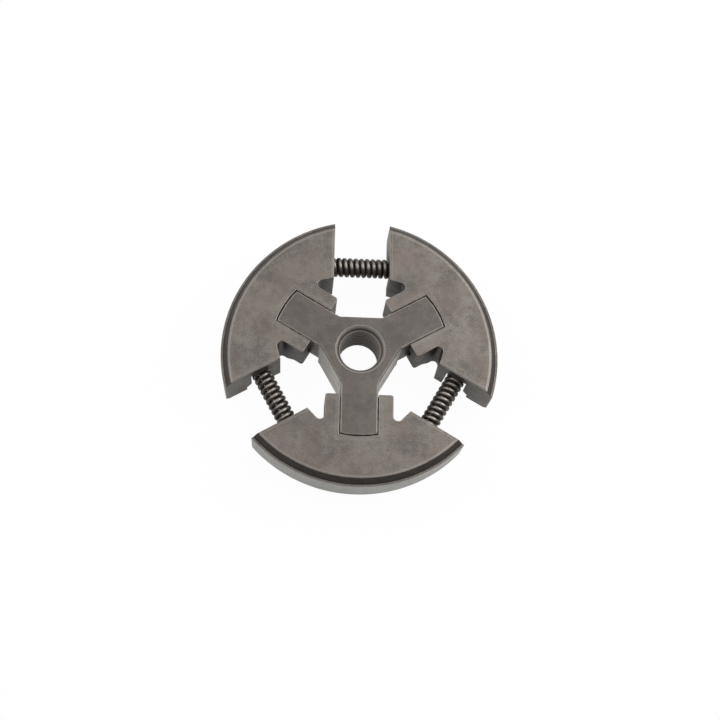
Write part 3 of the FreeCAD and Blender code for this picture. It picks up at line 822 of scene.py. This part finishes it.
WHITE = tone(255, 255, 255)
FLOOR_TONE = tone(250, 250, 250)
FLOOR_REACH = 2.0
FLOOR_DROP = 0.05 * MM
SHADOW_SHARE = 0.03
REFLECTED_SHARE = 0.45
WALL_LIGHT = 0.95
FRONT_WALL_SHARE = 0.3
FRONT_SPAN = (-0.9, -0.4)
CEILING_LIGHT = 0.06
WALL_FOOT = 0.1
WALL_TOP = 0.6
SOFTBOXES = (
    {"name": "overhead_softbox", "place": (0.14, 0.37, 0.72), "size": 0.9, "power": 2.06},
    {"name": "left_softbox", "place": (-0.46, 0.07, 0.4), "size": 0.55, "power": 1.9},
    {"name": "right_softbox", "place": (0.44, 0.1, 0.42), "size": 0.5, "power": 2.4},
    {"name": "front_softbox", "place": (0.0, -0.55, 0.6), "size": 0.6, "power": 0.5},
)


def add_floor():
    """A white floor that keeps a share of the shadow for the camera and is clear from below."""
    corners = np.array([[-1, -1, 0], [1, -1, 0], [1, 1, 0], [-1, 1, 0]]) * FLOOR_REACH
    corners[:, 2] = REAR - FLOOR_DROP
    floor = new_piece("floor", corners, [[0, 1, 2, 3]], False)
    material = bpy.data.materials.new("floor_white")
    material.use_nodes = True
    material.node_tree.nodes.clear()
    wiring = Wiring(material.node_tree)
    matt = wiring.add("ShaderNodeBsdfDiffuse", {"Color": FLOOR_TONE}).outputs[0]
    white = wiring.add("ShaderNodeEmission", {"Color": WHITE, "Strength": 1.0}).outputs[0]
    path = wiring.add("ShaderNodeLightPath").outputs
    share = wiring.sum(
        (path["Is Camera Ray"], 1 - SHADOW_SHARE), (path["Is Glossy Ray"], REFLECTED_SHARE))
    upper = wiring.add("ShaderNodeMixShader", {0: share, 1: matt, 2: white}).outputs[0]
    below = wiring.geometry("Backfacing")
    clear = wiring.add("ShaderNodeBsdfTransparent").outputs[0]
    surface = wiring.add("ShaderNodeMixShader", {0: below, 1: upper, 2: clear}).outputs[0]
    wiring.add("ShaderNodeOutputMaterial", {"Surface": surface})
    dress(floor, material)


def add_softbox(name, place, size, power):
    """A square area lamp at a place, turned to the object."""
    lamp = bpy.data.lights.new(name, "AREA")
    lamp.size = size
    lamp.energy = power
    softbox = bpy.data.objects.new(name, lamp)
    softbox.location = place
    softbox.rotation_euler = (-Vector(place)).to_track_quat("-Z", "Y").to_euler()
    bpy.context.scene.collection.objects.link(softbox)


def add_backdrop():
    """A world that is white to the camera.

    It lights the object with a dim ceiling and a pale wall, which is dimmer in front.
    """
    world = bpy.data.worlds.new("studio")
    world.use_nodes = True
    world.node_tree.nodes.clear()
    wiring = Wiring(world.node_tree)
    outward = wiring.add("ShaderNodeTexCoord").outputs["Generated"]
    wall = wiring.ramp(wiring.axis(outward, "Z"), WALL_TOP, WALL_FOOT, CEILING_LIGHT, WALL_LIGHT)
    around = wiring.ramp(wiring.axis(outward, "Y"), *FRONT_SPAN, FRONT_WALL_SHARE, 1.0)
    seen = wiring.add("ShaderNodeLightPath").outputs["Is Camera Ray"]
    strength = wiring.highest(seen, wiring.product(wall, around))
    light = wiring.add("ShaderNodeBackground", {"Color": WHITE, "Strength": strength})
    wiring.add("ShaderNodeOutputWorld", {"Surface": light.outputs[0]})
    bpy.context.scene.world = world


CAMERA_AZIMUTH = math.radians(-9.56)
CAMERA_ELEVATION = math.radians(71.84)
CAMERA_ROLL = math.radians(11.2)
CAMERA_DISTANCE = 322.47 * MM
CAMERA_LENS = 61.21
CAMERA_SENSOR = 36
CAMERA_SHIFT = (-0.00064, -0.01544)
CAMERA_NEAR = 0.01


def add_camera():
    """The camera at the photograph's angle.

    It is aimed at the middle of the front face and rolled about its line of sight.
    """
    level = math.cos(CAMERA_ELEVATION)
    sideways, forward = math.sin(CAMERA_AZIMUTH), math.cos(CAMERA_AZIMUTH)
    back = Vector((sideways * level, -forward * level, math.sin(CAMERA_ELEVATION)))
    right = Vector((forward, sideways, 0))
    turn = Matrix((right, back.cross(right), back)).transposed()
    data = bpy.data.cameras.new("camera")
    data.lens = CAMERA_LENS
    data.sensor_width = CAMERA_SENSOR
    data.shift_x, data.shift_y = CAMERA_SHIFT
    data.clip_start = CAMERA_NEAR
    camera = bpy.data.objects.new("camera", data)
    camera.rotation_euler = (turn @ Matrix.Rotation(CAMERA_ROLL, 3, "Z")).to_euler()
    camera.location = Vector((0, 0, FRONT)) + back * CAMERA_DISTANCE
    bpy.context.scene.collection.objects.link(camera)
    bpy.context.scene.camera = camera


dress_all(add_springs(), add_thread())
add_floor()
for softbox in SOFTBOXES:
    add_softbox(**softbox)
add_backdrop()
add_camera()
bpy.context.scene.view_settings.view_transform = "Standard"
